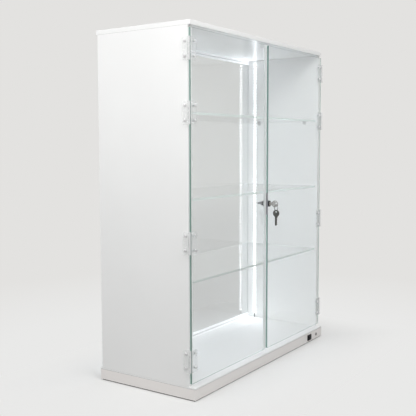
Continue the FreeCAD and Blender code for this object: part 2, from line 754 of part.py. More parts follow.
nut = lock_body("lock_nut")
nut_corners = [(f"nut_across / 2 / cos(30) * cos({60 * turn})",
                f"nut_across / 2 / cos(30) * sin({60 * turn})") for turn in range(6)]
extrude(nut, "Pad", "Y", "nut_start", "nut_thickness",
        outlines=[nut_corners], circles=disc("barrel_radius + barrel_fit"))

plug = lock_body("lock_plug")
extrude(plug, "Pad", "Y", "plug_front", "plug_head", circles=disc("plug_head_radius"))
extrude(plug, "Pad", "Y", "plug_front + plug_head", "plug_end - plug_front - plug_head",
        circles=disc("plug_radius"))
extrude(plug, "Pocket", "Y", "plug_front", "blade_length - key_neck + keyway_fit",
        outlines=[rectangle(both("key_thickness / 2 + keyway_fit"), both("blade_height / 2 + keyway_fit"))])

cam = lock_body("lock_cam")
extrude(cam, "Pad", "Y", "plug_end", "cam_thickness", circles=disc("cam_hub_radius"))
extrude(cam, "Pad", "Z", "-cam_tail_height / 2", "cam_tail_height",
        outlines=[[("-cam_thickness / 2", "cam_tail_start"), ("cam_thickness / 2", "cam_tail_start"),
                   ("cam_thickness / 2", "cam_tail_end - cam_thickness"),
                   ("cam_hook_length", "cam_tail_end - cam_thickness"), ("cam_hook_length", "cam_tail_end"),
                   ("-cam_thickness / 2", "cam_tail_end")]])

# One key in the lock, a split ring through its bow and the spare key hanging from the ring.
bits = []
for cut in range(BIT_COUNT):
    middle = f"blade_length - bit_start - {cut} * bit_pitch"
    edge = "-blade_height / 2"
    bits += [(f"{middle} + bit_pitch / 2", edge), (middle, f"{edge} + bit_depth")]
bits.append((f"blade_length - bit_start - {BIT_COUNT - 1} * bit_pitch - bit_pitch / 2", "-blade_height / 2"))
blade_outline = [("0", "blade_height / 2"), ("blade_length - blade_point", "blade_height / 2"),
                 ("blade_length", "blade_height / 2 - blade_point")] + bits + [("0", "-blade_height / 2")]
neck_outline = [("-bow_neck", "-bow_radius"), ("bow_taper", "-blade_height / 2"),
                ("bow_taper", "blade_height / 2"), ("-bow_neck", "bow_radius")]


def key(label, y, z):
    """A flat key with its shoulder at the body's origin and its blade along Y."""
    body = new_body(label, "lock_x", y, z)
    extrude(body, "Pad", "X", "-key_thickness / 2", "key_thickness",
            circles=[("-bow_neck", "0", "bow_radius")])
    extrude(body, "Pad", "X", "-key_thickness / 2", "key_thickness", outlines=[neck_outline])
    extrude(body, "Pad", "X", "-key_thickness / 2", "key_thickness", outlines=[blade_outline])
    extrude(body, "Pocket", "X", "-key_thickness / 2", "key_thickness",
            circles=[("bow_hole_inset - bow_end", "0", "bow_hole_radius")])
    return body


key("door_key", "key_shoulder", "lock_level")
spare_key = key("spare_key", "bow_hole_y", "spare_shoulder")
spare_key.Placement.Rotation = FreeCAD.Rotation(FreeCAD.Vector(1, 0, 0), -90)

key_ring = keep(doc.addObject("Part::Torus", "key_ring"), "key_ring")
key_ring.Placement.Rotation = FreeCAD.Rotation(FreeCAD.Vector(1, 0, 0), 90)
bind(key_ring, Radius1="ring_radius", Radius2="ring_wire", x="lock_x", y="bow_hole_y", z="ring_middle")

# Check every object, then write one file for each sub-part.
doc.recompute()
for item in doc.Objects:
    if {"Invalid", "Error"} & set(item.State):
        raise RuntimeError(f"{item.Label} failed: {item.State}")
for item in nodes:
    if item.Shape.isNull() or not item.Shape.isValid():
        raise RuntimeError(f"{item.Label} has no valid shape")
os.makedirs("parts", exist_ok=True)
for item in nodes:
    item.Shape.exportStep(f"parts/{item.Label}.step")
solids = sum(len(item.Shape.Solids) for item in nodes)
print(f"{len(nodes)} sub-parts, {solids} solids")
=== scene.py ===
# %% [markdown]
# A countertop display case, dressed for a photograph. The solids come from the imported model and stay
# where they are. This lesson adds what the solids lack: the camera, the studio, the finishes, and the
# small pieces that are too fine for a construction model.

import math

import bmesh
import bpy
from mathutils import Matrix, Vector


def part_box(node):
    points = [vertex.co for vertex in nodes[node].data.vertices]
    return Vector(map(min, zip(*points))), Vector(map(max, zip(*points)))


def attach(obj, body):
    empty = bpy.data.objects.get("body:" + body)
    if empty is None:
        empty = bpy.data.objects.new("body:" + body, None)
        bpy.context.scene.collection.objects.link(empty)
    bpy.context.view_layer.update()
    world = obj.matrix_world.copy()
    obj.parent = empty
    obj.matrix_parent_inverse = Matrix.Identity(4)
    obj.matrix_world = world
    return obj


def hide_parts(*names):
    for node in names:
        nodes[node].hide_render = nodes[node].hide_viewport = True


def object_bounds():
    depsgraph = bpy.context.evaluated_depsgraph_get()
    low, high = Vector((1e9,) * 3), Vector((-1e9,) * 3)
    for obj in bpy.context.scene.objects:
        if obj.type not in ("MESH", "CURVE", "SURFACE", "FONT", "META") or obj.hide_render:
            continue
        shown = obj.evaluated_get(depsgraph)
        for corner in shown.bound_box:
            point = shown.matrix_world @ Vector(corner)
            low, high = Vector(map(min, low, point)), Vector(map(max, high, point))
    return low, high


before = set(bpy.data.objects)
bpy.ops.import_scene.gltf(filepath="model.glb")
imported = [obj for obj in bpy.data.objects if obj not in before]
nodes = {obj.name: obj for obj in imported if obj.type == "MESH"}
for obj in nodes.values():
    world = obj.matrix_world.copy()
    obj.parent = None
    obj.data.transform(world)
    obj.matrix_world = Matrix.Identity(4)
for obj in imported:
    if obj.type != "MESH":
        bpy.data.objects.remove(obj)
cad_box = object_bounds()
MM = 0.001

# %% [markdown]
# The camera stands in front of the case and out to its left, somewhat above its middle, and looks
# slightly down, so that the left panel, the doors and the shelves all show. A camera can be aimed with a
# constraint, but the photograph also has a small roll, so the three axes are worked out from the heading,
# the tilt and the roll and set as one matrix.

# %% Camera
HEADING, TILT, ROLL = 0.5904, -0.0870, -0.0023
STAND_POINT = Vector((-1.5095, -0.9678, 0.5413))
FOCAL_PIXELS, FRAME_PIXELS, SENSOR = 705.16, 416, 36.0

ahead = Vector((math.cos(TILT) * math.cos(HEADING), math.cos(TILT) * math.sin(HEADING), math.sin(TILT)))
level_right = Vector((math.sin(HEADING), -math.cos(HEADING), 0))
level_up = level_right.cross(ahead)
right = level_right * math.cos(ROLL) + level_up * math.sin(ROLL)
up = right.cross(ahead)

camera = bpy.data.objects.new("camera", bpy.data.cameras.new("camera"))
camera.data.sensor_width = SENSOR
camera.data.lens = FOCAL_PIXELS / FRAME_PIXELS * SENSOR
axes = Matrix((right, up, -ahead)).transposed()
camera.matrix_world = Matrix.Translation(STAND_POINT) @ axes.to_4x4()
bpy.context.scene.collection.objects.link(camera)
bpy.context.scene.camera = camera
bpy.context.scene.view_settings.view_transform = "Standard"
print(f"lens {camera.data.lens:.1f} mm, {STAND_POINT.length:.2f} m from the foot of the case")

# %% [markdown]
# Every finish below is a small node tree. Colours are written as hex values, the way a paint card gives
# them, and one function turns them into the linear numbers that a renderer works with. A second function
# adds a node, gives it its settings and fills its sockets with numbers or with links.

# %% Two helpers for node trees
def linear(code):
    """A hex colour as linear red, green, blue and a full alpha."""
    parts = [int(code[i:i + 2], 16) / 255 for i in (1, 3, 5)]
    return tuple(p / 12.92 if p <= 0.04045 else ((p + 0.055) / 1.055) ** 2.4 for p in parts) + (1.0,)


def add(tree, kind, sockets=None, **settings):
    """Add a node, or take one that is there, then apply settings and fill its sockets."""
    made = tree.nodes.new("ShaderNode" + kind) if isinstance(kind, str) else kind
    for name, value in settings.items():
        setattr(made, name, value)
    for name, value in (sockets or {}).items():
        if isinstance(value, bpy.types.NodeSocket):
            tree.links.new(value, made.inputs[name])
        else:
            made.inputs[name].default_value = value
    return made


print("white card", [round(v, 3) for v in linear("#F4F4F3")])

# %% [markdown]
# The studio is a pale sweep with no visible horizon. A curved sheet could be modelled for it, but a flat
# floor that fades into the world's colour does the same from every side. The eye sees the backdrop
# directly. Through the panes it is dimmer, because the case keeps some light from what is behind it. A
# mirror image shows the rest of the room instead, which is darker still. All other rays find the plain
# level that lights the case.

# %% World
BACKDROP, SURROUND, AMBIENT = linear("#E3E2E0"), linear("#CCCCCB"), 0.45
BEHIND_CASE = linear("#D5D5D3")


def looked_at(tree):
    """The light path, and a socket that is one for what the eye, a mirror or a pane shows."""
    path = add(tree, "LightPath")
    direct = {0: path.outputs["Is Camera Ray"], 1: path.outputs["Is Glossy Ray"]}
    seen = add(tree, "Math", direct, operation="MAXIMUM")
    seen = add(tree, "Math", {0: seen.outputs[0], 1: path.outputs["Is Transmission Ray"]},
               operation="MAXIMUM")
    return path, seen.outputs[0]


world = bpy.data.worlds.new("studio")
world.use_nodes = True
tree = world.node_tree
path, seen = looked_at(tree)
hue = add(tree, "Mix", {0: path.outputs["Is Glossy Ray"], 6: BACKDROP, 7: SURROUND}, data_type="RGBA")
hue = add(tree, "Mix", {0: path.outputs["Is Transmission Ray"], 6: hue.outputs[2], 7: BEHIND_CASE},
          data_type="RGBA")
shown = add(tree, "Background", {"Color": hue.outputs[2], "Strength": 1.0})
lighting = add(tree, tree.nodes["Background"], {"Color": linear("#F4F5F6"), "Strength": AMBIENT})
both = add(tree, "MixShader", {0: seen, 1: lighting.outputs[0], 2: shown.outputs[0]})
add(tree, tree.nodes["World Output"], {"Surface": both.outputs[0]})
bpy.context.scene.world = world
print("world shows", [round(v, 2) for v in BACKDROP[:3]], "and lights at", AMBIENT)

# %% [markdown]
# Close to the case the floor is matt paint, which takes the soft shadow. Further out it turns into a
# plain glow of the backdrop's tone, so no horizon shows. The change is measured from the case's own box,
# which keeps the shadow near the foot on all four sides. Seen directly, the glow is painted a touch
# brighter near the case, as painted light. Seen through the panes, it is painted dimmer towards the
# case, as a painted shadow of the case. The light that the floor throws back up is that of a darker
# grey, because a white floor would wash the shading out of white boards.

# %% Floor
FLOOR_REACH, FLOOR_SQUARES = 9.0, 24
# In metres: the glow is measured past the case's sides, the painted light and the painted shadow from its
# middle.
GLOW_FROM, GLOW_TO = -0.1, 0.22
SWEEP_FROM, SWEEP_TO = 0.6, 1.3
DIM_FROM, DIM_TO = 0.5, 7.0
floor_mesh = bpy.data.meshes.new("floor")
shape = bmesh.new()
bmesh.ops.create_grid(shape, x_segments=FLOOR_SQUARES, y_segments=FLOOR_SQUARES, size=FLOOR_REACH)
shape.to_mesh(floor_mesh)
shape.free()
floor = bpy.data.objects.new("floor", floor_mesh)
bpy.context.scene.collection.objects.link(floor)

# Painted studio floor: matt, so it takes soft shadows and gives almost no mirror image.
paint = bpy.data.materials.new("painted_floor")
paint.use_nodes = True
tree = paint.node_tree
place = add(tree, "TexCoord")
away = add(tree, "VectorMath", {0: place.outputs["Object"]}, operation="LENGTH")
folded = add(tree, "VectorMath", {0: place.outputs["Object"]}, operation="ABSOLUTE")
past = add(tree, "VectorMath", {0: folded.outputs[0], 1: cad_box[1]}, operation="SUBTRACT")
sides = add(tree, "SeparateXYZ", {0: past.outputs[0]})
clear_of_case = add(tree, "Math", {0: sides.outputs["X"], 1: sides.outputs["Y"]}, operation="MAXIMUM")
fade = add(tree, "MapRange", {"Value": clear_of_case.outputs[0], "From Min": GLOW_FROM, "From Max": GLOW_TO},
           interpolation_type="SMOOTHSTEP")
path, seen = looked_at(tree)
share = add(tree, "Math", {0: seen, 1: fade.outputs["Result"]}, operation="MULTIPLY")
grit = add(tree, "TexNoise", {"Vector": place.outputs["Object"], "Scale": 400.0, "Detail": 2.0})
tone = add(tree, "Mix", {0: grit.outputs["Fac"], 6: linear("#E0E0DF"), 7: linear("#E6E6E5")},
           data_type="RGBA")
level = add(tree, "Mix", {0: seen, 6: linear("#A9A9A8"), 7: tone.outputs[2]}, data_type="RGBA")
matt = add(tree, tree.nodes["Principled BSDF"],
           {"Base Color": level.outputs[2], "Roughness": 0.7, "Specular IOR Level": 0.25})
# Painted light: seen directly, the floor's glow is a touch brighter near the case, as if lit by the lamps.
distant = add(tree, "MapRange",
              {"Value": away.outputs["Value"], "From Min": SWEEP_FROM, "From Max": SWEEP_TO})
painted_floor_light = add(tree, "Mix", {0: distant.outputs["Result"], 6: linear("#E9E9E8"), 7: BACKDROP}, data_type="RGBA")
hue = add(tree, "Mix", {0: path.outputs["Is Glossy Ray"], 6: painted_floor_light.outputs[2], 7: SURROUND},
          data_type="RGBA")
# Painted shadow: seen through the panes, the floor's glow darkens towards the case.
far_off = add(tree, "MapRange",
              {"Value": away.outputs["Value"], "From Min": DIM_FROM, "From Max": DIM_TO})
painted_case_shadow = add(tree, "Mix", {0: far_off.outputs["Result"], 6: linear("#C1C1C0"), 7: BEHIND_CASE},
          data_type="RGBA")
hue = add(tree, "Mix", {0: path.outputs["Is Transmission Ray"], 6: hue.outputs[2], 7: painted_case_shadow.outputs[2]},
          data_type="RGBA")
glow = add(tree, "Emission", {"Color": hue.outputs[2], "Strength": 1.0})
both = add(tree, "MixShader", {0: share.outputs[0], 1: matt.outputs[0], 2: glow.outputs[0]})
add(tree, tree.nodes["Material Output"], {"Surface": both.outputs[0]})
floor_mesh.materials.append(paint)
print(f"floor of {2 * FLOOR_REACH:.0f} m fades into the backdrop")

# %% [markdown]
# A soft box on the left, level with the upper half of the case, makes the left panel fall off from bright
# at the top to grey at the foot. One high above lights the top and the floor, and one high in front
# lights the front edges, the plinth and, through the doors, the deck. A weak fourth, on the right, keeps
# that side from going dark. Point lamps would do for the level, but area lamps are used because their
# size sets how soft the shadow's edge is.

# %% Lamps
def area_lamp(name, place, toward, width, height, power):
    """A flat lamp that shines in one direction."""
    lamp = bpy.data.objects.new(name, bpy.data.lights.new(name, "AREA"))
    lamp.data.shape = "RECTANGLE"
    lamp.data.size = width
    lamp.data.size_y = height
    lamp.data.energy = power
    lamp.location = place
    lamp.rotation_mode = "QUATERNION"
    lamp.rotation_quaternion = Vector(toward).to_track_quat("-Z", "Y")
    bpy.context.scene.collection.objects.link(lamp)
    print(f"{name}: {power} W from {width:.3g} by {height:.3g} m")
    return lamp


# Each soft box has its place, the point it is aimed at, its side in metres and its power in watts.
SOFT_BOXES = {"side_box": ((-1.05, 0.0, 0.9), (-0.2, 0.0, 0.75), 0.9, 4.0),
              "high_box": ((-0.8, 0.0, 2.6), (-0.3, 0.0, 0.0), 0.9, 12.0),
              "front_box": ((-0.6, -1.2, 1.7), (0.0, 0.0, 0.4), 0.8, 16.0),
              "right_box": ((1.7, 0.0, 0.8), (0.3, 0.0, 0.45), 0.7, 4.5)}
for name, (stand, aim, side, power) in SOFT_BOXES.items():
    area_lamp(name, stand, Vector(aim) - Vector(stand), side, side, power)

# %% [markdown]
# The carcass is particle board faced with white melamine paper. Pressing leaves a glossy skin with a
# faint orange-peel texture, in which the lit tapes are mirrored as a soft bar on the ceiling, and large
# boards are never quite one tone. Two noises give that: a fine one for the skin's relief and a broad one
# for the tone. Where two boards meet, shade is painted in: the colour darkens within 3 mm of a joint,
# which an ambient occlusion node finds. The side boards go without, because the node would also find
# the hinges on them. The upper faces of the top and of the deck are painted a darker grey as painted
# shade, and they are duller than the rest, where goods are slid about. The plinth's paper is a touch
# warmer.

# %% White melamine-faced board
def begin(name):
    """A fresh material with its tree, its principled shader and object coordinates in metres."""
    made = bpy.data.materials.new(name)
    made.use_nodes = True
    inner = made.node_tree
    return made, inner, inner.nodes["Principled BSDF"], add(inner, "TexCoord").outputs["Object"]


def dress(material, *names):
    """Give CAD nodes a finish through their material slots."""
    for name in names:
        for slot in nodes[name].material_slots:
            slot.material = material
    print(f"{material.name} on {len(names)} nodes")


# A face counts as facing an axis, or as a ceiling, from these values of its normal on.
FACING = 0.7
CEILING = -0.9
WORN_ROUGHNESS = 0.7
# Reach of the painted seam shade, and the occlusion at which it starts and at which it is full.
SEAM_REACH, SEAM_OPEN, SEAM_DEEP = 3 * MM, 0.62, 0.3


def melamine(name, low, high, top_shade_and_wear, seam_shade):
    """Faced board between two tones; the first share sets the painted shade and dulling of its top, the
    second the painted shade in its seams.
    """
    made, inner, skin, place = begin(name)
    normal = add(inner, "SeparateXYZ", {0: add(inner, "TexCoord").outputs["Normal"]})
    upward = add(inner, "Math", {0: normal.outputs["Z"], 1: FACING}, operation="GREATER_THAN")
    broad = add(inner, "TexNoise", {"Vector": place, "Scale": 1 / (120 * MM), "Detail": 3.0})
    tone = add(inner, "Mix", {0: broad.outputs["Fac"], 6: linear(low), 7: linear(high)}, data_type="RGBA")
    peel = add(inner, "TexNoise", {"Vector": place, "Scale": 1 / (1.6 * MM), "Detail": 1.0})
    relief = add(inner, "Bump", {"Height": peel.outputs["Fac"], "Strength": 0.06, "Distance": 0.05 * MM})
    sheen = add(inner, "MapRange", {"Value": broad.outputs["Fac"], "To Min": 0.18, "To Max": 0.26})
    # Painted shade: upward faces are darkened towards a grey by the board's top share, which also dulls
    # them.
    upper_shade_and_wear = add(inner, "Math", {0: upward.outputs[0], 1: top_shade_and_wear}, operation="MULTIPLY")
    tone = add(inner, "Mix", {0: upper_shade_and_wear.outputs[0], 6: tone.outputs[2], 7: linear("#D4D4D4")},
               data_type="RGBA")
    # Painted shade: near a seam, as ambient occlusion finds it, the colour darkens towards a grey, except on
    # ceilings.
    shelter = add(inner, "AmbientOcclusion", {"Distance": SEAM_REACH}, samples=8)
    crevice_shade = add(inner, "MapRange", {"Value": shelter.outputs["AO"], "From Min": SEAM_OPEN,
                                      "From Max": SEAM_DEEP, "To Max": seam_shade})
    not_ceiling = add(inner, "Math", {0: normal.outputs["Z"], 1: CEILING}, operation="GREATER_THAN")
    dust_and_seam_shade = add(inner, "Math", {0: crevice_shade.outputs["Result"], 1: not_ceiling.outputs[0]},
                operation="MULTIPLY")
    tone = add(inner, "Mix", {0: dust_and_seam_shade.outputs[0], 6: tone.outputs[2], 7: linear("#807D82")},
               data_type="RGBA")
    dulled = add(inner, "Math", {0: upper_shade_and_wear.outputs[0], 1: WORN_ROUGHNESS, 2: sheen.outputs["Result"]},
                 operation="MULTIPLY_ADD")
    add(inner, skin, {"Base Color": tone.outputs[2], "Roughness": dulled.outputs[0],
                      "Normal": relief.outputs["Normal"]})
    return made


PAPER_LOW, PAPER_HIGH = "#F5F5F4", "#FAFAF9"
top_board = melamine("melamine_white", PAPER_LOW, PAPER_HIGH, 0.5, 1.0)
plinth_board = melamine("melamine_white_plinth", "#F7F3F0", "#FCF8F5", 0.0, 1.0)
side_board = melamine("melamine_white_sides", PAPER_LOW, PAPER_HIGH, 0.0, 0.0)
deck_board = melamine("melamine_white_deck", PAPER_LOW, PAPER_HIGH, 0.5, 0.5)
dress(top_board, "top_panel")
dress(plinth_board, "plinth_front", "plinth_back", "plinth_left", "plinth_right")
dress(side_board, "left_side_panel", "right_side_panel")
dress(deck_board, "base_deck", "base_cover")

# %% [markdown]
# The back pane sits in two rails of extruded white PVC, each with glossy lips and a groove between them,
# whose darker grey is painted shade. The groove is told from the lips by its height on the rail, so one
# finish serves both rails. The rails end close to the tapes and catch their light along the whole
# length; a faint glow of their own stands for that.

# %% White PVC rails
GROOVE_HALF = 1.8 * MM


def distance(tree, value, middle):
    """How far a value is from a middle, to either side."""
    off_middle = add(tree, "Math", {0: value, 1: middle}, operation="SUBTRACT")
    return add(tree, "Math", {0: off_middle.outputs[0]}, operation="ABSOLUTE").outputs[0]


rail_vinyl, tree, skin, place = begin("pvc_white_extruded")
height = add(tree, "SeparateXYZ", {0: place}).outputs["Z"]


def in_groove(rail):
    """One inside the rail's groove, nought elsewhere."""
    low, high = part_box(rail)
    off_middle = distance(tree, height, (low.z + high.z) / 2)
    return add(tree, "Math", {0: off_middle, 1: GROOVE_HALF}, operation="LESS_THAN").outputs[0]


grooves = {0: in_groove("back_rail_top"), 1: in_groove("back_rail_bottom")}
painted_groove_shade = add(tree, "Math", grooves, operation="MAXIMUM")
streak = add(tree, "Mapping", {"Vector": place, "Scale": (1 / (80 * MM), 1 / (1 * MM), 1 / (1 * MM))})
drawn = add(tree, "TexNoise", {"Vector": streak.outputs[0], "Scale": 1.0, "Detail": 2.0})
lips = add(tree, "Mix", {0: drawn.outputs["Fac"], 6: linear("#EEEEED"), 7: linear("#F3F3F2")},
           data_type="RGBA")
# Painted shade: inside the groove the colour turns a darker grey than the lips.
tone = add(tree, "Mix", {0: painted_groove_shade.outputs[0], 6: lips.outputs[2], 7: linear("#BDBDBB")}, data_type="RGBA")
satin = add(tree, "MapRange", {"Value": drawn.outputs["Fac"], "To Min": 0.22, "To Max": 0.34})
add(tree, skin, {"Base Color": tone.outputs[2], "Roughness": satin.outputs["Result"],
                 "Emission Color": linear("#F4F8FF"), "Emission Strength": 0.28})
dress(rail_vinyl, "back_rail_top", "back_rail_bottom")

# %% [markdown]
# The doors, the back and the shelves are float glass. Light crosses a pane with little loss, but along an
# edge it has come a long way through the sheet, so edges look green. The edge faces are told from the
# broad faces by the object's own normal. A door's edge is darkest outside and pales towards the lit
# inside. The shelf's edge is paler still, because it gathers light from both tapes. Glass that bends
# every shadow ray would need caustics to light the inside, so shadow and diffuse rays go straight
# through.

# %% Float glass
# A span of depths that no pane reaches, for edges that don't pale.
BEYOND_CASE = (1.0, 2.0)


def float_glass(name, thin_axis, edge_code, edge_pass, edge_glow, edge_span=BEYOND_CASE):
    """Pane that is thin along one axis; its edge pales over edge_span, from front to back."""
    made, inner, pane, place = begin(name)
    depth = add(inner, "SeparateXYZ", {0: place}).outputs["Y"]
    inside = add(inner, "MapRange", {"Value": depth, "From Min": edge_span[0], "From Max": edge_span[1]})
    edge = add(inner, "Mix", {0: inside.outputs["Result"], 6: linear(edge_code), 7: linear("#C4DDD6")},
               data_type="RGBA")
    normal = add(inner, "TexCoord").outputs["Normal"]
    parts = add(inner, "SeparateXYZ", {0: normal})
    facing = add(inner, "Math", {0: parts.outputs[thin_axis]}, operation="ABSOLUTE")
    broad_face = add(inner, "Math", {0: facing.outputs[0], 1: FACING}, operation="GREATER_THAN")
    tint = add(inner, "Mix", {0: broad_face.outputs[0], 6: edge.outputs[2], 7: linear("#FDFEFE")},
               data_type="RGBA")
    clear = add(inner, "MapRange", {"Value": broad_face.outputs[0], "To Min": edge_pass, "To Max": 1.0})
    ground = add(inner, "MapRange", {"Value": broad_face.outputs[0], "To Min": 0.22, "To Max": 0.0})
    piped = add(inner, "MapRange", {"Value": broad_face.outputs[0], "To Min": edge_glow, "To Max": 0.0})
    wave = add(inner, "TexNoise", {"Vector": place, "Scale": 1 / (70 * MM), "Detail": 0.0})
    relief = add(inner, "Bump", {"Height": wave.outputs["Fac"], "Strength": 0.03, "Distance": 0.1 * MM})
    add(inner, pane, {"Base Color": tint.outputs[2], "Transmission Weight": clear.outputs["Result"],
                      "Roughness": ground.outputs["Result"], "IOR": 1.52, "Normal": relief.outputs["Normal"],
                      "Emission Color": tint.outputs[2], "Emission Strength": piped.outputs["Result"]})
    path = add(inner, "LightPath")
    through = add(inner, "Math", {0: path.outputs["Is Shadow Ray"], 1: path.outputs["Is Diffuse Ray"]},
                  operation="MAXIMUM")
    passing = add(inner, "BsdfTransparent", {"Color": linear("#FDFEFE")})
    mixed = add(inner, "MixShader", {0: through.outputs[0], 1: pane.outputs[0], 2: passing.outputs[0]})
    add(inner, inner.nodes["Material Output"], {"Surface": mixed.outputs[0]})
    return made


door_low, door_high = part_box("left_door_pane")
door_glass = float_glass("float_glass_door", "Y", "#6F9488", 0.3, 0.0, (door_low.y + 1 * MM, door_high.y))
upright_glass = float_glass("float_glass_back", "Y", "#6F9488", 0.3, 0.0)
shelf_glass = float_glass("float_glass_shelf", "Z", "#E4ECE9", 0.3, 0.1)
dress(door_glass, "left_door_pane", "right_door_pane")
dress(upright_glass, "back_pane")
dress(shelf_glass, "shelf_upper", "shelf_middle", "shelf_lower")

# %% [markdown]
# The hinge leaves, the door stop and the shelf studs are moulded from clear polycarbonate. Full
# transmission would bend the view behind each thin plate, and at this size the eye mostly sees straight
# through it, so a low alpha is used: a thin pale skin over what lies behind. A moulding is never as flat
# as glass, so the skin gets a gentle wave and a little roughness. The corners of the leaves and the stop
# also get a small bevel that catches the light. Two flat pieces never quite touch, so each clear piece
# also draws in by a few hundredths of a millimetre: a renderer can't tell which of two faces in one
# place comes first. Modifiers do both without touching the solid.

# %% Clear polycarbonate
FILM_OF_AIR = 0.03
polycarbonate, tree, shell, place = begin("polycarbonate_clear")
flow = add(tree, "TexNoise", {"Vector": place, "Scale": 1 / (9 * MM), "Detail": 1.0})
relief = add(tree, "Bump", {"Height": flow.outputs["Fac"], "Strength": 0.12, "Distance": 0.15 * MM})
haze = add(tree, "MapRange", {"Value": flow.outputs["Fac"], "To Min": 0.03, "To Max": 0.1})
body = add(tree, "MapRange", {"Value": flow.outputs["Fac"], "To Min": 0.1, "To Max": 0.2})
add(tree, shell, {"Base Color": linear("#FAFCFC"), "IOR": 1.58, "Alpha": body.outputs["Result"],
                  "Roughness": haze.outputs["Result"], "Normal": relief.outputs["Normal"]})
LEAVES = [name for name in nodes if "_leaf_" in name]
dress(polycarbonate, "door_stop", "shelf_studs", *LEAVES)


def draw_in(names, gap):
    """Leave a film of air between clear CAD nodes and what they lie on."""
    for name in names:
        shrink = nodes[name].modifiers.new("film_of_air", "DISPLACE")
        shrink.mid_level = 0.0
        shrink.strength = -gap * MM
    print(f"{len(names)} nodes drawn in by {gap} mm")


def soften(names, width):
    """Round the edges of CAD nodes for the eye."""
    for name in names:
        bevel = nodes[name].modifiers.new("soft_edges", "BEVEL")
        bevel.width = width * MM
        bevel.segments = 2
        bevel.limit_method = "ANGLE"
        bevel.angle_limit = math.radians(35)
    print(f"{len(names)} nodes with edges rounded by {width} mm")


draw_in(["door_stop", "shelf_studs", *LEAVES], FILM_OF_AIR)
soften(["door_stop", *LEAVES], 0.35)

# %% [markdown]
# A slip-on profile of soft PVC covers the free edge of the left door, where a hand takes hold of it. PVC
# of this kind is milky: it lets part of the light through and scatters the rest. Rough transmission would
# do that at the price of noise; a pale body with an alpha of about a half looks the same on so thin a
# strip.

# %% Translucent PVC
pvc, tree, milk, place = begin("pvc_translucent")
draw = add(tree, "Mapping", {"Vector": place, "Scale": (1 / (1.2 * MM), 1 / (1.2 * MM), 1 / (60 * MM))})
streak = add(tree, "TexNoise", {"Vector": draw.outputs[0], "Scale": 1.0, "Detail": 2.0})
relief = add(tree, "Bump", {"Height": streak.outputs["Fac"], "Strength": 0.1, "Distance": 0.05 * MM})
satin = add(tree, "MapRange", {"Value": streak.outputs["Fac"], "To Min": 0.25, "To Max": 0.4})
add(tree, milk, {"Base Color": linear("#FAFBFA"), "Alpha": 0.55, "IOR": 1.46,
                 "Roughness": satin.outputs["Result"], "Normal": relief.outputs["Normal"]})
dress(pvc, "left_door_edge_profile")
draw_in(["left_door_edge_profile"], FILM_OF_AIR)
soften(["left_door_edge_profile"], 0.2)

# %% [markdown]
# The switch is black ABS with the fine spark-eroded grain that its mould was given. Cells of a Voronoi
# pattern draw such a grain better than a noise does, because each pit has a rim.

# %% Black ABS
abs_black, tree, shell, place = begin("abs_black_grained")
grain = add(tree, "TexVoronoi", {"Vector": place, "Scale": 1 / (0.35 * MM)})
relief = add(tree, "Bump", {"Height": grain.outputs["Distance"], "Strength": 0.25, "Distance": 0.03 * MM})
tone = add(tree, "Mix", {0: grain.outputs["Distance"], 6: linear("#0E0E0F"), 7: linear("#18181A")},
           data_type="RGBA")
add(tree, shell, {"Base Color": tone.outputs[2], "Roughness": 0.5, "IOR": 1.54, "Specular IOR Level": 0.3,
                  "Normal": relief.outputs["Normal"]})
dress(abs_black, "switch_housing", "switch_rocker")
soften(["switch_housing", "switch_rocker"], 0.4)

# %% [markdown]
# The power inlet is black ABS too, with a plated centre pin and a plated collar. It is one solid, so the
# metal is told from the plastic by its distance from the inlet's axis.

# %% Inlet of black ABS with plated contacts
PIN_RADIUS, COLLAR_FROM = 1.2 * MM, 2.9 * MM
inlet, tree, shell, place = begin("abs_black_plated_contacts")
jack_low, jack_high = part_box("power_jack")
axis = (jack_low + jack_high) / 2
flat = add(tree, "VectorMath", {0: place, 1: axis}, operation="SUBTRACT")
flat = add(tree, "VectorMath", {0: flat.outputs[0], 1: (1, 0, 1)}, operation="MULTIPLY")
reach = add(tree, "VectorMath", {0: flat.outputs[0]}, operation="LENGTH")
pin = add(tree, "Math", {0: reach.outputs["Value"], 1: PIN_RADIUS}, operation="LESS_THAN")
collar = add(tree, "Math", {0: reach.outputs["Value"], 1: COLLAR_FROM}, operation="GREATER_THAN")
plated = add(tree, "Math", {0: pin.outputs[0], 1: collar.outputs[0]}, operation="MAXIMUM")
grain = add(tree, "TexNoise", {"Vector": place, "Scale": 1 / (0.6 * MM), "Detail": 2.0})
metal = add(tree, "Mix", {0: grain.outputs["Fac"], 6: linear("#A8A5A1"), 7: linear("#C2BFBB")},
            data_type="RGBA")
tone = add(tree, "Mix", {0: plated.outputs[0], 6: linear("#141415"), 7: metal.outputs[2]}, data_type="RGBA")
shine = add(tree, "MapRange", {"Value": grain.outputs["Fac"], "To Min": 0.3, "To Max": 0.45})
add(tree, shell, {"Base Color": tone.outputs[2], "Metallic": plated.outputs[0],
                  "Roughness": shine.outputs["Result"]})
dress(inlet, "power_jack")
soften(["power_jack"], 0.2)

# %% [markdown]
# Metals keep the default IOR and differ by colour, by roughness and by how the surface was worked. The
# lock's sleeve and plug and the key in it are bright nickel plate, which mirrors the room in soft clouds.
# The screws, bolts and hinge pins are zinc plated over a blasted surface, so they look pale and have no
# clear mirror image.

# %% Bright nickel and blasted zinc
nickel, tree, plate, place = begin("nickel_plate_bright")
cloud = add(tree, "TexNoise", {"Vector": place, "Scale": 1 / (3 * MM), "Detail": 2.0})
shine = add(tree, "MapRange", {"Value": cloud.outputs["Fac"], "To Min": 0.12, "To Max": 0.28})
add(tree, plate, {"Base Color": linear("#D6D4D0"), "Metallic": 1.0, "Roughness": shine.outputs["Result"]})
dress(nickel, "lock_sleeve", "lock_plug", "door_key")

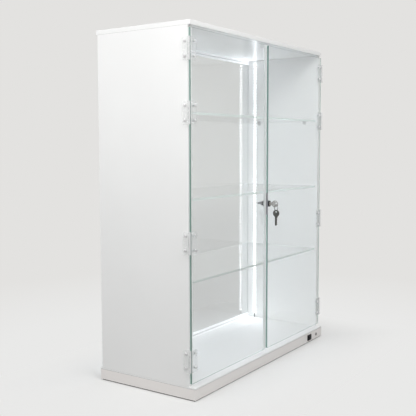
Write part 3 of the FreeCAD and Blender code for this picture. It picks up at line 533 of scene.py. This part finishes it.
# Zinc plate over blasted steel: the fine pits spread the light, so little of its metal shine is left.
pale, tree, plate, place = begin("zinc_plate_blasted")
grit = add(tree, "TexNoise", {"Vector": place, "Scale": 1 / (0.5 * MM), "Detail": 2.0})
tone = add(tree, "Mix", {0: grit.outputs["Fac"], 6: linear("#DDDBDD"), 7: linear("#EFEEEF")},
           data_type="RGBA")
relief = add(tree, "Bump", {"Height": grit.outputs["Fac"], "Strength": 0.2, "Distance": 0.03 * MM})
add(tree, plate, {"Base Color": tone.outputs[2], "Metallic": 0.25, "Roughness": 0.45,
                  "Normal": relief.outputs["Normal"]})
dress(pale, "hinge_screws", "left_door_bolts", "right_door_bolts", "hinge_pins")

# %% [markdown]
# The spare key is brushed steel, darker than the plated one, with the lay of the belt across its bow. A
# noise that is stretched along two axes and tight along the third draws those lines.

# %% Brushed steel
steel, tree, plate, place = begin("steel_brushed_keys")
lay = add(tree, "Mapping", {"Vector": place, "Scale": (1 / (4 * MM), 1 / (4 * MM), 1 / (0.25 * MM))})
lines = add(tree, "TexNoise", {"Vector": lay.outputs[0], "Scale": 1.0, "Detail": 3.0})
shine = add(tree, "MapRange", {"Value": lines.outputs["Fac"], "To Min": 0.2, "To Max": 0.42})
tone = add(tree, "Mix", {0: lines.outputs["Fac"], 6: linear("#4C4A47"), 7: linear("#7A7772")},
           data_type="RGBA")
relief = add(tree, "Bump", {"Height": lines.outputs["Fac"], "Strength": 0.15, "Distance": 0.03 * MM})
add(tree, plate, {"Base Color": tone.outputs[2], "Metallic": 1.0, "Roughness": shine.outputs["Result"],
                  "Normal": relief.outputs["Normal"]})
dress(steel, "spare_key")
soften(["door_key", "spare_key"], 0.25)

# %% [markdown]
# The ring of the keys is a split ring: flat steel wire wound twice round, with a jog where it steps from
# the first turn to the second. The solid stands for it by one closed ring. A curve with a bevel could
# draw the wire, but its ends need to stop short of the jog and its section is flat, so the wire is swept:
# an oval is carried along the two turns, and each end is closed with a face.

# %% Split ring
def new_piece(name, shape, materials, body):
    """Turn a bmesh into an object that rides on a body."""
    bmesh.ops.recalc_face_normals(shape, faces=shape.faces)
    mesh = bpy.data.meshes.new(name)
    shape.to_mesh(mesh)
    shape.free()
    for material in materials:
        mesh.materials.append(material)
    piece = bpy.data.objects.new(name, mesh)
    bpy.context.scene.collection.objects.link(piece)
    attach(piece, body)
    print(f"{name}: {len(mesh.polygons)} faces on {body}")
    return piece


def loft(shape, rings):
    """Join closed rings of points, one after another; lists each face with its band and its corner."""
    made = []
    for band, (near, far) in enumerate(zip(rings, rings[1:])):
        for corner in range(len(near)):
            following = (corner + 1) % len(near)
            face = shape.faces.new((near[corner], near[following], far[following], far[corner]))
            made.append((face, band, corner))
    return made


ring_low, ring_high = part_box("key_ring")
ring_middle = (ring_low + ring_high) / 2
WIRE_HALF = (ring_high.y - ring_low.y) / 2
RING_RADIUS = (ring_high.x - ring_low.x) / 2 - WIRE_HALF
TURN_HALF = WIRE_HALF / 2
END_GAP, JOG_HALF = 0.45, 0.35
WIRE_STEPS, OVAL_POINTS = 120, 10
FIRST_END, LAST_END = END_GAP, 4 * math.pi - END_GAP

shape = bmesh.new()
ovals = []
for step in range(WIRE_STEPS + 1):
    angle = FIRST_END + (LAST_END - FIRST_END) * step / WIRE_STEPS
    through_jog = max(-1.0, min(1.0, (angle - 2 * math.pi) / JOG_HALF))
    outward = Vector((math.cos(angle), 0, math.sin(angle)))
    oval = []
    for corner in range(OVAL_POINTS):
        turn = 2 * math.pi * corner / OVAL_POINTS
        reach = RING_RADIUS + WIRE_HALF * math.cos(turn)
        depth = TURN_HALF * (math.sin(math.pi / 2 * through_jog) + math.sin(turn))
        oval.append(shape.verts.new(ring_middle + outward * reach + Vector((0, depth, 0))))
    ovals.append(oval)
for face, _, _ in loft(shape, ovals):
    face.smooth = True
shape.faces.new(ovals[0])
shape.faces.new(ovals[-1])
split_ring = new_piece("split_ring", shape, [steel], "key_ring")
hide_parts("key_ring")

# %% [markdown]
# The lock's barrel and nut are black zinc plate, which is smooth and a little oily. Behind the nut the
# barrel's end shows a fine thread. A screw modifier could turn one, but a sweep along a helix is as
# short: at each step it sets two feet on the barrel and a crest between them.

# %% Black zinc and the barrel's thread
zinc, tree, plate, place = begin("zinc_plate_black")
cloud = add(tree, "TexNoise", {"Vector": place, "Scale": 1 / (2 * MM), "Detail": 2.0})
tone = add(tree, "Mix", {0: cloud.outputs["Fac"], 6: linear("#17171A"), 7: linear("#2B2B2E")},
           data_type="RGBA")
shine = add(tree, "MapRange", {"Value": cloud.outputs["Fac"], "To Min": 0.22, "To Max": 0.36})
add(tree, plate, {"Base Color": tone.outputs[2], "Metallic": 0.6, "Roughness": shine.outputs["Result"]})
dress(zinc, "lock_barrel", "lock_nut")
soften(["lock_nut"], 0.5)

BARREL_RADIUS, PITCH, TURN_STEPS = 5 * MM, 0.8 * MM, 48
FOOT, CREST, NUT_GAP = -0.1 * MM, 0.3 * MM, 0.1 * MM
# Height above the barrel and place along it: two feet and a crest, just short of one pitch.
THREAD_PROFILE = ((FOOT, 0), (CREST, PITCH / 2), (FOOT, PITCH * 0.98))
nut_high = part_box("lock_nut")[1]
barrel_low, barrel_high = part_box("lock_barrel")
thread_axis = (barrel_low + barrel_high) / 2
thread_start = nut_high.y + NUT_GAP
thread_turns = (barrel_high.y - thread_start - PITCH) / PITCH
shape = bmesh.new()
profiles = []
for step in range(round(thread_turns * TURN_STEPS) + 1):
    turn = 2 * math.pi * step / TURN_STEPS
    outward = Vector((math.cos(turn), 0, math.sin(turn)))
    profile = []
    for height, along in THREAD_PROFILE:
        spot = outward * (BARREL_RADIUS + height)
        advance = thread_start + PITCH * step / TURN_STEPS + along
        profile.append(shape.verts.new((thread_axis.x + spot.x, advance, thread_axis.z + spot.z)))
    profiles.append(profile)
loft(shape, profiles)
shape.faces.new(profiles[0])
shape.faces.new(profiles[-1])
new_piece("barrel_thread", shape, [zinc], "right_door")

# %% [markdown]
# The lock's bracket and cam are die-cast zinc, left as they came from tumbling. Small soft pits and a
# dull grey set such a casting apart from plate.

# %% Die-cast zinc
cast, tree, plate, place = begin("zinc_die_cast_grey")
pits = add(tree, "TexVoronoi", {"Vector": place, "Scale": 1 / (0.9 * MM)})
tone = add(tree, "Mix", {0: pits.outputs["Distance"], 6: linear("#7C7C7E"), 7: linear("#949496")},
           data_type="RGBA")
relief = add(tree, "Bump", {"Height": pits.outputs["Distance"], "Strength": 0.2, "Distance": 0.05 * MM})
add(tree, plate, {"Base Color": tone.outputs[2], "Metallic": 0.35, "Roughness": 0.5,
                  "Normal": relief.outputs["Normal"]})
dress(cast, "lock_bracket", "lock_cam")
soften(["lock_bracket", "lock_cam"], 0.2)

# %% [markdown]
# Below the plinth lies a mat of ribbed black rubber, and inside the plinth are two battens of sawn pine.
# The leads have a black PVC jacket.

# %% Rubber, pine and lead jacket
rubber, tree, sheet, place = begin("rubber_ribbed_black")
ribs = add(tree, "TexWave", {"Vector": place, "Scale": 1 / (2 * math.pi * 0.5 * MM)}, bands_direction="Y")
relief = add(tree, "Bump", {"Height": ribs.outputs["Fac"], "Strength": 0.4, "Distance": 0.3 * MM})
dust_and_seam_shade = add(tree, "TexNoise", {"Vector": place, "Scale": 1 / (25 * MM), "Detail": 4.0})
tone = add(tree, "Mix", {0: dust_and_seam_shade.outputs["Fac"], 6: linear("#1A1A1A"), 7: linear("#2C2B2A")},
           data_type="RGBA")
add(tree, sheet, {"Base Color": tone.outputs[2], "Roughness": 0.85, "Normal": relief.outputs["Normal"]})
dress(rubber, "base_mat")

pine, tree, sawn, place = begin("pine_sawn")
stretch = add(tree, "Mapping", {"Vector": place, "Scale": (1 / (90 * MM), 1 / (6 * MM), 1 / (6 * MM))})
growth = add(tree, "TexNoise", {"Vector": stretch.outputs[0], "Scale": 1.0, "Detail": 4.0,
                                "Distortion": 0.6})
tone = add(tree, "Mix", {0: growth.outputs["Fac"], 6: linear("#B98F5C"), 7: linear("#E3C593")},
           data_type="RGBA")
relief = add(tree, "Bump", {"Height": growth.outputs["Fac"], "Strength": 0.3, "Distance": 0.2 * MM})
add(tree, sawn, {"Base Color": tone.outputs[2], "Roughness": 0.7, "Normal": relief.outputs["Normal"]})
dress(pine, "deck_battens")

jacket, tree, hose, place = begin("pvc_jacket_black")
drawn = add(tree, "TexNoise", {"Vector": place, "Scale": 1 / (4 * MM), "Detail": 2.0})
tone = add(tree, "Mix", {0: drawn.outputs["Fac"], 6: linear("#2A2A2B"), 7: linear("#3B3B3D")},
           data_type="RGBA")
satin = add(tree, "MapRange", {"Value": drawn.outputs["Fac"], "To Min": 0.4, "To Max": 0.55})
add(tree, hose, {"Base Color": tone.outputs[2], "Roughness": satin.outputs["Result"]})
dress(jacket, "led_lead_left", "led_lead_right", "power_lead")

# %% [markdown]
# The light tape is a white film with a row of square light packages. The solids stand for each package by
# a block. Here every block becomes a real package: a white housing with a chamfered rim and a domed round
# window, where the light comes out. The housing's wall is thin, and the side towards the back of the case
# glows too. One package is drawn as rings of points, from its foot to the top of the window, and repeated
# along both tapes.

# %% Light packages
def turn_square(half, angle):
    """Point of a square's outline at an angle."""
    reach = half / max(abs(math.cos(angle)), abs(math.sin(angle)))
    return reach * math.cos(angle), reach * math.sin(angle)


def turn_circle(radius, angle):
    """Point of a circle at an angle."""
    return radius * math.cos(angle), radius * math.sin(angle)


# Outline, half width and height above the tape in millimetres, from the foot to the top of the window.
RING_POINTS = 16
PACKAGE_RINGS = ((turn_square, 2.5, 0.0), (turn_square, 2.5, 1.35), (turn_square, 2.25, 1.6),
                 (turn_circle, 2.1, 1.6), (turn_circle, 1.7, 1.85), (turn_circle, 0.9, 2.05))
WINDOW_FROM, REAR_STEPS = 3, (14, 15, 0, 1)


def add_package(shape, corner, inward):
    """One package with its foot on the tape at corner, facing along X."""
    rings = []
    for outline, size, height in PACKAGE_RINGS:
        ring = []
        for step in range(RING_POINTS):
            across, along = outline(size * MM, 2 * math.pi * step / RING_POINTS)
            ring.append(shape.verts.new(corner + Vector((inward * height * MM, across, along))))
        rings.append(ring)
    for face, band, step in loft(shape, rings):
        face.material_index = int(band >= WINDOW_FROM) or 2 * int(band == 0 and step in REAR_STEPS)
    shape.faces.new(rings[-1]).material_index = 1


# Housing of white PPA: dense and matt, it glows softly beside its own window.
housing, tree, shell, place = begin("ppa_white_housing")
speck = add(tree, "TexNoise", {"Vector": place, "Scale": 1 / (0.8 * MM), "Detail": 2.0})
tone = add(tree, "Mix", {0: speck.outputs["Fac"], 6: linear("#F0F0EE"), 7: linear("#F8F8F7")},
           data_type="RGBA")
add(tree, shell, {"Base Color": tone.outputs[2], "Roughness": 0.5})

# Window of phosphor gel: cool white and far brighter than anything round it.
window, tree, gel, place = begin("phosphor_gel_lit")
spread = add(tree, "TexNoise", {"Vector": place, "Scale": 1 / (1.5 * MM), "Detail": 1.0})
tone = add(tree, "Mix", {0: spread.outputs["Fac"], 6: linear("#EEF5FF"), 7: linear("#F8FBFF")},
           data_type="RGBA")
add(tree, gel, {"Base Color": linear("#F5F3E0"), "Roughness": 0.3, "Emission Color": tone.outputs[2],
                "Emission Strength": 10.0})

# Side of the housing that faces the back of the case: thin, so some of the light leaves there.
side_glow, tree, shell, place = begin("ppa_white_thin_lit")
speck = add(tree, "TexNoise", {"Vector": place, "Scale": 1 / (0.8 * MM), "Detail": 2.0})
tone = add(tree, "Mix", {0: speck.outputs["Fac"], 6: linear("#F3F8FF"), 7: linear("#FBFDFF")},
           data_type="RGBA")
add(tree, shell, {"Base Color": linear("#F4F4F2"), "Roughness": 0.5, "Emission Color": tone.outputs[2],
                  "Emission Strength": 4.0})

chip_low, chip_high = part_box("led_chips")
CHIP_SIDE, CHIP_PITCH = 5 * MM, 8.33 * MM
chip_count = round((chip_high.z - chip_low.z - CHIP_SIDE) / CHIP_PITCH) + 1
tape_y = (chip_low.y + chip_high.y) / 2
shape = bmesh.new()
for side in (-1, 1):
    for row in range(chip_count):
        level = chip_low.z + CHIP_SIDE / 2 + row * CHIP_PITCH
        add_package(shape, Vector((side * chip_high.x, tape_y, level)), -side)
packages = new_piece("light_packages", shape, [housing, window, side_glow], "case")
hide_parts("led_chips")

# %% [markdown]
# Between the packages sit small resistors: a black ceramic block with a tinned cap on each end. Every
# third gap is left free, because there the tape can be cut. A resistor is lofted through oblong outlines,
# so that the caps stand a little proud of the block between them and all corners are broken.

# %% Resistors of the tapes
# Place across the tape, half width and height of each outline in millimetres, from cap to cap.
RESISTOR_OUTLINES = ((-1.0, 0.5, 0.45), (-0.93, 0.62, 0.55), (-0.6, 0.62, 0.55), (-0.58, 0.58, 0.5),
                     (0.58, 0.58, 0.5), (0.6, 0.62, 0.55), (0.93, 0.62, 0.55), (1.0, 0.5, 0.45))
CERAMIC_BAND, CUT_EVERY = 3, 3


def add_resistor(shape, foot, inward):
    """One resistor lying across the tape, with its foot on the film."""
    outlines = []
    for across, half, height in RESISTOR_OUTLINES:
        oblong = []
        for along, rise in ((-half, 0), (half, 0), (half, height), (-half, height)):
            oblong.append(shape.verts.new(foot + Vector((inward * rise, across, along)) * MM))
        outlines.append(oblong)
    for face, band, _ in loft(shape, outlines):
        face.material_index = int(band == CERAMIC_BAND)
    shape.faces.new(outlines[0])
    shape.faces.new(outlines[-1])


# Tin from a solder bath: soft, grey-white and slightly frosted.
tin, tree, plate, place = begin("tin_dipped")
frost = add(tree, "TexNoise", {"Vector": place, "Scale": 1 / (0.3 * MM), "Detail": 2.0})
shine = add(tree, "MapRange", {"Value": frost.outputs["Fac"], "To Min": 0.3, "To Max": 0.5})
add(tree, plate, {"Base Color": linear("#CFCFCD"), "Metallic": 1.0, "Roughness": shine.outputs["Result"]})

# Glazed ceramic: black, smooth and clouded by the glaze's thickness.
ceramic, tree, glaze, place = begin("ceramic_glazed_black")
cloud = add(tree, "TexNoise", {"Vector": place, "Scale": 1 / (0.5 * MM), "Detail": 1.0})
tone = add(tree, "Mix", {0: cloud.outputs["Fac"], 6: linear("#151516"), 7: linear("#232325")},
           data_type="RGBA")
add(tree, glaze, {"Base Color": tone.outputs[2], "Roughness": 0.25, "IOR": 1.6})

first_gap = chip_low.z + CHIP_SIDE / 2 + CHIP_PITCH / 2
shape = bmesh.new()
for side in (-1, 1):
    for gap in range(chip_count - 1):
        if gap % CUT_EVERY:
            foot = Vector((side * chip_high.x, tape_y, first_gap + gap * CHIP_PITCH))
            add_resistor(shape, foot, -side)
resistors = new_piece("tape_resistors", shape, [tin, ceramic], "case")

# %% [markdown]
# The packages are far too small and bright to light the case by themselves: their light would arrive as
# grain. Each tape therefore gets a slim area lamp of its own length just in front of it, which is seen by
# nothing and only lights. A second, very weak one lights the wall behind the packages.

# %% Light of the tapes
TAPE_POWER, REAR_POWER = 0.84, 0.012
FRONT_GAP, REAR_GAP, REAR_WIDTH = 4 * MM, 1 * MM, 3 * MM
tape_length = chip_high.z - chip_low.z
tape_middle = (chip_high.z + chip_low.z) / 2


def slim_lamp(name, place, toward, width, power):
    """An upright strip of light that only lights, and shows in no mirror or pane."""
    lamp = area_lamp(name, place, toward, width, tape_length, power)
    lamp.data.color = linear("#F0F6FF")[:3]
    lamp.visible_camera = False
    lamp.visible_glossy = False
    lamp.visible_transmission = False


for side, hand in ((-1, "left"), (1, "right")):
    inward = side * (chip_high.x - FRONT_GAP)
    slim_lamp(f"tape_light_{hand}", (inward, tape_y, tape_middle), (-side, 0, 0), CHIP_SIDE, TAPE_POWER)
    behind = (inward, chip_high.y + REAR_GAP, tape_middle)
    to_rear_wall = (side * 0.6, 0.8, 0)
    slim_lamp(f"tape_rear_{hand}", behind, to_rear_wall, REAR_WIDTH, REAR_POWER)

# %% [markdown]
# The tape's film is white polyimide. In every third gap it has a grey cut line with a pair of bare copper
# pads, where a lead can be soldered on. Such flat marks need no mesh: their distance from the cut line
# and from the tape's middle, in millimetres, tells where they are.

# %% Tape film
PAD_OFFSET, PAD_HALF, CUT_LINE_HALF = 2.4 * MM, 1.1 * MM, 0.2 * MM
CUT_PITCH = CUT_EVERY * CHIP_PITCH
film, tree, sheet, place = begin("polyimide_film_white")
parts = add(tree, "SeparateXYZ", {0: place})
from_start = add(tree, "Math", {0: parts.outputs["Z"], 1: first_gap - CUT_PITCH / 2}, operation="SUBTRACT")
in_stretch = add(tree, "Math", {0: from_start.outputs[0], 1: CUT_PITCH}, operation="FLOORED_MODULO")
from_cut = distance(tree, in_stretch.outputs[0], CUT_PITCH / 2)
from_middle = distance(tree, parts.outputs["Y"], tape_y)
from_pad = {0: distance(tree, from_middle, PAD_OFFSET), 1: from_cut}
from_pad = add(tree, "Math", from_pad, operation="MAXIMUM")
pad = add(tree, "Math", {0: from_pad.outputs[0], 1: PAD_HALF}, operation="LESS_THAN")
mark = add(tree, "Math", {0: from_cut, 1: CUT_LINE_HALF}, operation="LESS_THAN")
tone = add(tree, "Mix", {0: pad.outputs[0], 6: linear("#F2F2F0"), 7: linear("#C48A5E")}, data_type="RGBA")
tone = add(tree, "Mix", {0: mark.outputs[0], 6: tone.outputs[2], 7: linear("#B9B6AE")}, data_type="RGBA")
ripple = add(tree, "TexNoise", {"Vector": place, "Scale": 1 / (6 * MM), "Detail": 2.0})
relief = add(tree, "Bump", {"Height": ripple.outputs["Fac"], "Strength": 0.2, "Distance": 0.1 * MM})
# Painted light: the film glows faintly, standing for the light that its packages throw on it.
add(tree, sheet, {"Base Color": tone.outputs[2], "Roughness": 0.45, "Metallic": pad.outputs[0],
                  "Normal": relief.outputs["Normal"], "Emission Color": linear("#F4F8FF"),
                  "Emission Strength": 0.3})
dress(film, "led_tape_left", "led_tape_right")
